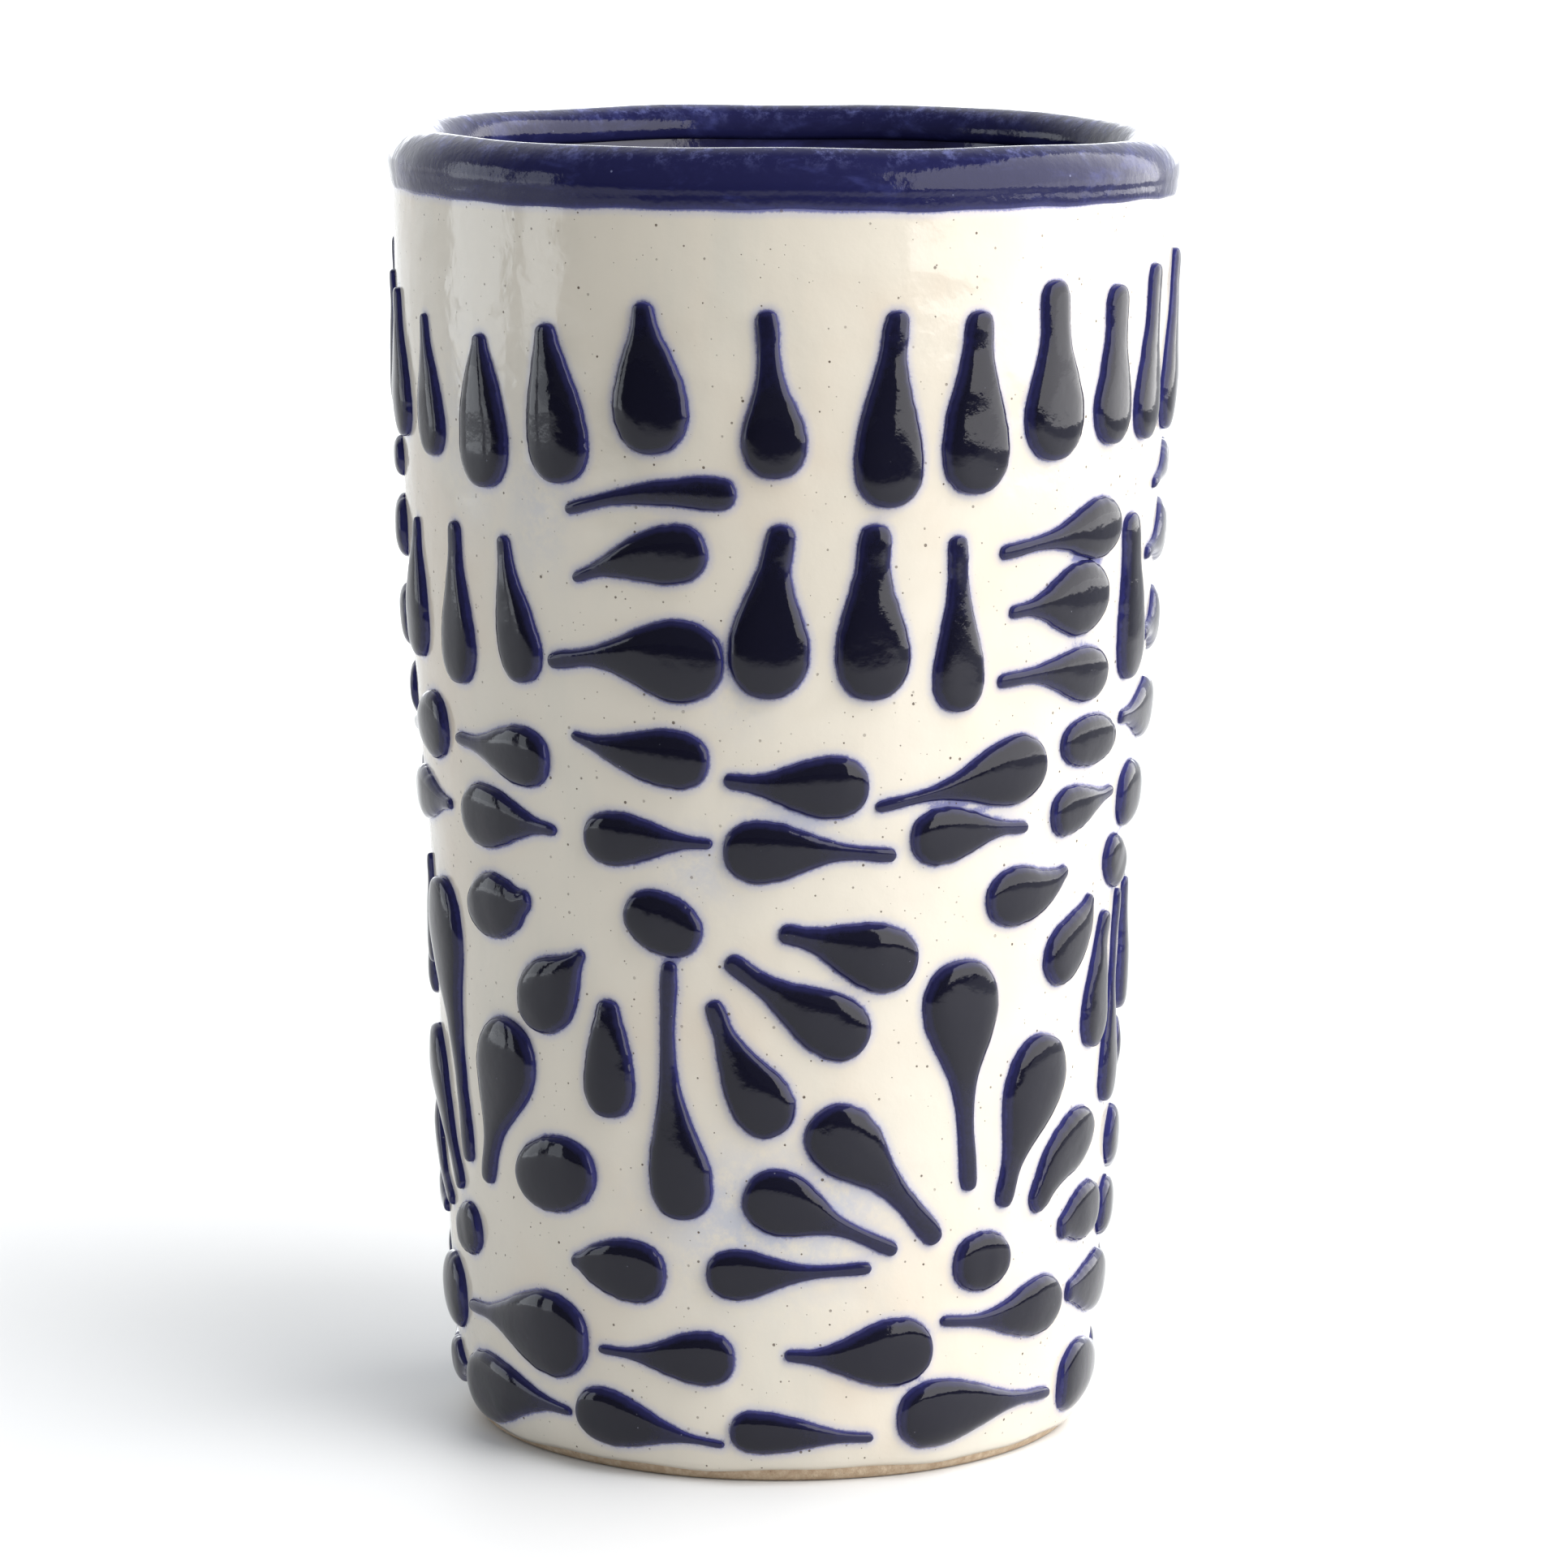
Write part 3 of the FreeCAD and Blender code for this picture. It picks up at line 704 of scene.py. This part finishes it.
hazePatches = [              # angle in degrees, height, half width, half height, strength
    (-2, 0.031, 0.0110, 0.0075, 1.0),
    (9, 0.0330, 0.0070, 0.0040, 0.9),
    (-6, 0.093, 0.0035, 0.0050, 0.6),
    (4, 0.077, 0.0060, 0.0022, 0.8),
    (-12, 0.071, 0.0045, 0.0040, 0.6),
    (-38, 0.111, 0.0040, 0.0080, 0.5),
    (-52, 0.118, 0.0060, 0.0100, 0.4),
    (28, 0.0085, 0.0020, 0.0015, 0.5),
    (150, 0.060, 0.0120, 0.0080, 0.9),
    (205, 0.100, 0.0080, 0.0060, 0.7),
    (100, 0.035, 0.0070, 0.0050, 0.7),
    (250, 0.040, 0.0090, 0.0060, 0.8),
]


def bandEdge(angle):
    # height of the lower edge of the cobalt band, which was brushed on by hand
    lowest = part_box("cobalt_rim_glaze")[0].z
    wave = np.sin(2 * angle + 0.9) + 0.6 * np.sin(5 * angle + 2.4) + 0.35 * np.sin(13 * angle + 0.3)
    return lowest + 0.00014 * wave + 0.00006 * np.sin(29 * angle + 1.0)


def addCream():
    start, end = wallLine[0, 1], wallLine[-1, 1]
    rows = np.concatenate((np.linspace(start, start + 0.003, 6)[:-1],
                           np.arange(start + 0.003, end - 0.0022, creamCoat["rowGap"]),
                           np.linspace(end - 0.0020, end + creamCoat["tuck"], 9)))
    outside = np.column_stack((wallRadius(rows), rows))
    outside[0, 0] -= 0.00028
    outside[0, 1] += 0.00002
    within = outside[::14][::-1].copy()
    within[:, 0] -= creamCoat["coat"]
    line = np.vstack((outside, within))
    angle, radius, height = turnedGrid(line, creamCoat["columns"])
    wall = len(outside)
    # the glaze stops in an uneven line above the foot
    drip = 0.00022 * (np.sin(3 * angle + 1) + 0.6 * np.sin(8 * angle) + 0.4 * np.sin(17 * angle + 2))
    height = height + drip * (1 - smoothStep(start, start + 0.004, height))
    radius = radius + outOfTrue(angle, height)
    points = placed(angle, radius, height)
    faces = ringFaces(len(line), creamCoat["columns"], True)
    piece = makePiece("cream_glaze", points, faces, creamMaterial)
    fromBlue = np.full(angle.shape, 9.0)
    far = creamCoat["bleed"]
    for middle, centre, scale, edge in dropEdges:
        turned = (angle[:wall] - middle + math.pi) % (2 * math.pi) - math.pi
        flat = np.stack((turned * scale, height[:wall] - centre), axis=-1)
        low, high = edge.min(axis=0) - far, edge.max(axis=0) + far
        near = np.all((flat > low) & (flat < high), axis=-1)
        spots = flat[near]
        away = nearest(spots, edge)
        away[insideOf(spots, edge)] *= -1
        part = fromBlue[:wall]
        part[near] = np.minimum(part[near], away / millimetre)
    belowBand = (bandEdge(angle) - height) / millimetre
    fromBlue = np.minimum(fromBlue, np.maximum(belowBand, -1))
    addValues(piece, "fromBlue", fromBlue.ravel())
    haze = np.zeros(angle.shape)
    for degrees, centre, halfWidth, halfHeight, strength in hazePatches:
        turned = (angle - math.radians(degrees) + math.pi) % (2 * math.pi) - math.pi
        spread = (turned * radius / halfWidth) ** 2 + ((height - centre) / halfHeight) ** 2
        haze = np.maximum(haze, strength * np.exp(-spread))
    addValues(piece, "haze", haze.ravel())
    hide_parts("cream_outer_glaze")


creamMaterial = creamFinish()
addCream()
print("cream coat turned")


# Rim band

rimCoat = {
    "columns": 540,
    "rowGap": 0.00028,
    "proud": 0.00010,        # the band stands this far out over the cream
    "thickness": 0.0008,
}


def rimCentre():
    low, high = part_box("cobalt_rim_glaze")
    return high.x - 0.0031, high.z - 0.0050


def roundRim(line):
    across, up = rimCentre()
    return line[np.argsort(np.arctan2(line[:, 1] - up, line[:, 0] - across))]


def lipOutside(radius, height, outward, up):
    across, middle = rimCentre()
    return (radius - across) * outward + (height - middle) * up > 0


def addRim():
    line = thinned(roundRim(profileOf("cobalt_rim_glaze", lipOutside)), 0.0004)
    outside = smoothLine(line, rimCoat["rowGap"])
    across, up = rimCentre()
    inward = np.array((across, up)) - outside
    inward /= np.linalg.norm(inward, axis=1)[:, None]
    within = everyFew(outside + inward * rimCoat["thickness"], 5)[::-1]
    along = np.concatenate(([0], np.cumsum(np.linalg.norm(np.diff(outside, axis=0), axis=1))))
    proud = rimCoat["proud"] * smoothStep(0, 0.0012, along) * (1 - smoothStep(0.002, 0.006, along))
    proud = proud - 0.00012 * (1 - smoothStep(0, 0.00022, along))
    outside = outside - inward * proud[:, None]
    whole = np.vstack((outside, within))
    angle, radius, height = turnedGrid(whole, rimCoat["columns"])
    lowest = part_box("cobalt_rim_glaze")[0].z
    hanging = 1 - smoothStep(lowest + 0.0002, lowest + 0.0025, height)
    height = height + (bandEdge(angle) - lowest) * hanging
    radius = radius + outOfTrue(angle, height)
    height = height + crestRise(angle, height)
    points = placed(angle, radius, height)
    piece = makePiece("rim_band", points, ringFaces(len(whole), rimCoat["columns"], True), rimMaterial)
    edge = np.concatenate((along, np.full(len(within), 0.004))) / millimetre
    addValues(piece, "fromEdge", np.repeat(edge, rimCoat["columns"]))
    crest = np.exp(-((whole[:, 1] - cadBox[1][2]) / 0.0014) ** 2)
    addValues(piece, "crest", np.repeat(crest, rimCoat["columns"]))
    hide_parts("cobalt_rim_glaze")
    return within


rimMaterial = rimFinish()
lipClay = addRim()
print("rim band turned")


# Inside and clay

insideCoat = {
    "columns": 360,
    "rowGap": 0.0014,
    "thickness": 0.00045,
    "tuck": 0.0006,          # how far the coat goes on under the rim band
    "ridge": 0.00003,        # finger ridges inside
    "ridgeGap": 0.0052,
}


axisGap = 0.0004             # radius of the smallest ring, round the axis


def wellFaces(radius, height, outward, up):
    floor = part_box("cobalt_inner_glaze")[0].z
    return (outward < -0.3) | ((up > 0.3) & (height > floor))


def alongWell(line):
    return line[np.argsort(line[:, 0] + line[:, 1])]


def addInside():
    line = thinned(alongWell(profileOf("cobalt_inner_glaze", wellFaces)), 0.0012)
    line[0, 0] = axisGap
    outside = smoothLine(filled(line, 0.003), insideCoat["rowGap"])
    run = outside[-1] - outside[-2]
    run /= np.linalg.norm(run)
    hidden = outside[-1] + run * insideCoat["tuck"] + np.array((run[1], -run[0])) * 0.00016
    outside = np.vstack((outside, hidden))
    outside[:, 0] = np.maximum(outside[:, 0], axisGap)
    step = np.gradient(outside, axis=0)
    away = np.column_stack((step[:, 1], -step[:, 0])) / np.linalg.norm(step, axis=1)[:, None]
    within = everyFew(outside + away * insideCoat["thickness"], 2)[::-1]
    whole = np.vstack((outside, within))
    angle, radius, height = turnedGrid(whole, insideCoat["columns"])
    share = smoothStep(0.004, 0.03, radius)
    ridges = insideCoat["ridge"] * np.sin(height / insideCoat["ridgeGap"] * 6.283 + angle)
    radius = radius + (outOfTrue(angle, height) + ridges) * share
    height = height + crestRise(angle, height)
    faces = ringFaces(len(whole), insideCoat["columns"], True)
    piece = makePiece("inner_glaze", placed(angle, radius, height), faces, insideMaterial)
    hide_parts("cobalt_inner_glaze")
    return within


def footLine():
    # the bare underside: from the middle of the recess over the foot ring to the glaze line
    points, corners = nodeMesh("clay_body")
    low = points[points[:, 2] < wallLine[0, 1] + 0.0003]
    line = np.unique(np.round(np.column_stack((np.hypot(low[:, 0], low[:, 1]), low[:, 2])), 6), axis=0)
    line = line[np.argsort(line[:, 0])]
    line[0, 0] = max(line[0, 0], axisGap)
    return thinned(line, 0.00025)


def eased(line, spacing, reach):
    # a straight-sided line with its corners worn round
    along = np.concatenate(([0], np.cumsum(np.linalg.norm(np.diff(line, axis=0), axis=1))))
    places = np.linspace(0, along[-1], int(along[-1] / spacing) + 1)
    fine = np.column_stack([np.interp(places, along, line[:, k]) for k in range(2)])
    window = np.hanning(2 * reach + 3)[1:-1]
    window /= window.sum()
    padded = np.vstack((np.repeat(fine[:1], reach, axis=0), fine, np.repeat(fine[-1:], reach, axis=0)))
    return np.column_stack([np.convolve(padded[:, k], window, mode="valid") for k in range(2)])


clayPot = {"columns": 360, "footGap": 0.0004}


def addClay():
    foot = eased(footLine(), clayPot["footGap"], 2)
    rows = np.linspace(wallLine[0, 1] + 0.0006, wallLine[-1, 1], 40)
    wall = np.column_stack((wallRadius(rows) - creamCoat["coat"] - 0.00002, rows))
    whole = np.vstack((foot, wall, lipClay[::-1][1:-1], wellClay[:-1]))
    whole[:, 0] = np.maximum(whole[:, 0], axisGap)
    angle, radius, height = turnedGrid(whole, clayPot["columns"])
    radius = radius + outOfTrue(angle, height) * smoothStep(0.004, 0.03, radius)
    height = height + crestRise(angle, height)
    faces = ringFaces(len(whole), clayPot["columns"], True)
    piece = makePiece("clay_pot", placed(angle, radius, height), faces, clayFinish())
    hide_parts("clay_body")


insideMaterial = insideFinish()
wellClay = addInside()
addClay()
print("inside and clay turned")


# Floor, lights and air

studio = {
    "floorSize": 24.0,
    "floorColour": (0.77, 0.775, 0.78, 1),
    "floorGlow": (0.0, 0.50),          # near the vase and far behind it
    "farGlow": 0.65,                     # keeps the table white far out on every side
    "reflectedDarkAhead": (-0.46, -0.26),         # painted reflection and shade: the table top in front is near black in the glazes' mirror and in bounced light, white to the camera
    "suns": {
        "ceiling_light": {"strength": 1.40, "angle": 32, "above": 61, "round": -40},
        "front_fill": {"strength": 1.20, "angle": 70, "above": 30, "round": -58},
    },
    "rightPanel": {"x": 0.42, "from": -0.64, "to": 0.42, "low": 0.05, "high": 0.64, "power": 6.2,
                   "tint": (1.0, 0.985, 0.96)},
    "leftWindow": {"x": -0.78, "high": 0.42, "power": 1.5, "tint": (0.90, 0.95, 1.0),
                   "panes": [(-0.30, -0.12), (-0.04, 0.30)]},
}


def addPanel(name, middle, aim, wide, high, power, tint=(1, 1, 1)):
    lamp = bpy.data.lights.new(name, "AREA")
    lamp.shape = "RECTANGLE"
    lamp.size, lamp.size_y = wide, high
    lamp.energy = power
    lamp.color = tint
    panel = bpy.data.objects.new(name, lamp)
    bpy.context.scene.collection.objects.link(panel)
    panel.location = middle
    panel.rotation_euler = (Vector(aim)).to_track_quat("-Z", "Y").to_euler()
    panel.visible_camera = False


def addStudio():
    size = studio["floorSize"] / 2
    mesh = bpy.data.meshes.new("floor")
    corners = [(-size, -size, 0), (size, -size, 0), (size, size, 0), (-size, size, 0)]
    mesh.from_pydata(corners, [], [(0, 1, 2, 3)])
    floor = bpy.data.objects.new("floor", mesh)
    bpy.context.scene.collection.objects.link(floor)
    f = Finish("white_table")
    f.colour(studio["floorColour"])
    f.gloss(0.6)
    f.shader.inputs["Emission Color"].default_value = (0.97, 0.985, 1.0, 1)
    split = f.node("ShaderNodeSeparateXYZ")
    f.feed(split.inputs[0], f.place)
    seen = f.node("ShaderNodeLightPath").outputs["Is Camera Ray"]
    away = f.node("ShaderNodeVectorMath", operation="LENGTH")
    f.feed(away.inputs[0], f.place)
    around = f.math("MULTIPLY", f.fade(away.outputs["Value"], 0.25, 0.85, 0.0, studio["farGlow"]), seen)
    behind = f.fade(split.outputs["Y"], 0.15, 1.6, *studio["floorGlow"])
    f.feed(f.shader.inputs["Emission Strength"], f.math("MAXIMUM", behind, around))
    # painted reflection and shade: rays other than the camera's see the table in front as a near black
    # sheet
    ahead = f.fade(split.outputs["Y"], *studio["reflectedDarkAhead"], 1.0, 0.0)
    mirrored = f.math("SUBTRACT", 1.0, seen)
    dark = f.node("ShaderNodeBsdfDiffuse")
    f.feed(dark.inputs["Color"], (0.04, 0.04, 0.04, 1))
    both = f.node("ShaderNodeMixShader")
    f.feed(both.inputs["Fac"], f.math("MULTIPLY", ahead, mirrored))
    f.feed(both.inputs[1], f.shader.outputs["BSDF"])
    f.feed(both.inputs[2], dark.outputs["BSDF"])
    f.feed(f.tree.nodes["Material Output"].inputs["Surface"], both.outputs["Shader"])
    mesh.materials.append(f.material)
    right = studio["rightPanel"]
    middle = (right["x"], (right["from"] + right["to"]) / 2, (right["low"] + right["high"]) / 2)
    wide, tall = right["to"] - right["from"], right["high"] - right["low"]
    addPanel("right_panel", middle, (-1, 0, 0), wide, tall, right["power"], right["tint"])
    left = studio["leftWindow"]
    wide = sum(end - start for start, end in left["panes"])
    for number, (start, end) in enumerate(left["panes"]):
        middle = (left["x"], (start + end) / 2, left["high"] / 2)
        power = left["power"] * (end - start) / wide
        name = "left_window_%d" % number
        addPanel(name, middle, (1, 0, 0), end - start, left["high"], power, left["tint"])
    for name, sun in studio["suns"].items():
        lamp = bpy.data.lights.new(name, "SUN")
        lamp.energy = sun["strength"]
        lamp.angle = math.radians(sun["angle"])
        above, around = math.radians(sun["above"]), math.radians(sun["round"])
        level = math.cos(above)
        way = Vector((level * math.cos(around), level * math.sin(around), math.sin(above)))
        light = bpy.data.objects.new(name, lamp)
        bpy.context.scene.collection.objects.link(light)
        light.rotation_euler = way.to_track_quat("Z", "Y").to_euler()
        light.visible_glossy = False


airLook = {
    "steps": [(-0.05, 0.92, 0.10, 1.5), (0.90, 0.99, 0.0, 2.5)],   # from, to, strength before, after
}


def addAir():
    # soft light, dim in front and bright behind; white where it is seen directly
    world = bpy.data.worlds.new("air")
    bpy.context.scene.world = world
    world.use_nodes = True
    nodes, links = world.node_tree.nodes, world.node_tree.links
    nodes.clear()
    way = nodes.new("ShaderNodeTexCoord")
    split = nodes.new("ShaderNodeSeparateXYZ")
    links.new(way.outputs["Generated"], split.inputs[0])
    shares = []
    for low, high, dim, bright in airLook["steps"]:
        step = nodes.new("ShaderNodeMapRange")
        step.interpolation_type = "SMOOTHSTEP"
        links.new(split.outputs["Y"], step.inputs["Value"])
        settings = {"From Min": low, "From Max": high, "To Min": dim, "To Max": bright}
        for key, value in settings.items():
            step.inputs[key].default_value = value
        shares.append(step.outputs["Result"])
    total = nodes.new("ShaderNodeMath")
    links.new(shares[0], total.inputs[0])
    links.new(shares[1], total.inputs[1])
    soft = nodes.new("ShaderNodeBackground")
    soft.inputs["Color"].default_value = (0.95, 0.975, 1.0, 1)
    links.new(total.outputs[0], soft.inputs["Strength"])
    white = nodes.new("ShaderNodeBackground")
    white.inputs["Color"].default_value = (0.985, 0.992, 1.0, 1)
    seen = nodes.new("ShaderNodeLightPath")
    both = nodes.new("ShaderNodeMixShader")
    links.new(seen.outputs["Is Camera Ray"], both.inputs["Fac"])
    links.new(soft.outputs[0], both.inputs[1])
    links.new(white.outputs[0], both.inputs[2])
    end = nodes.new("ShaderNodeOutputWorld")
    links.new(both.outputs[0], end.inputs["Surface"])


addStudio()
addAir()
bpy.context.scene.view_settings.view_transform = "Standard"
print("studio set")
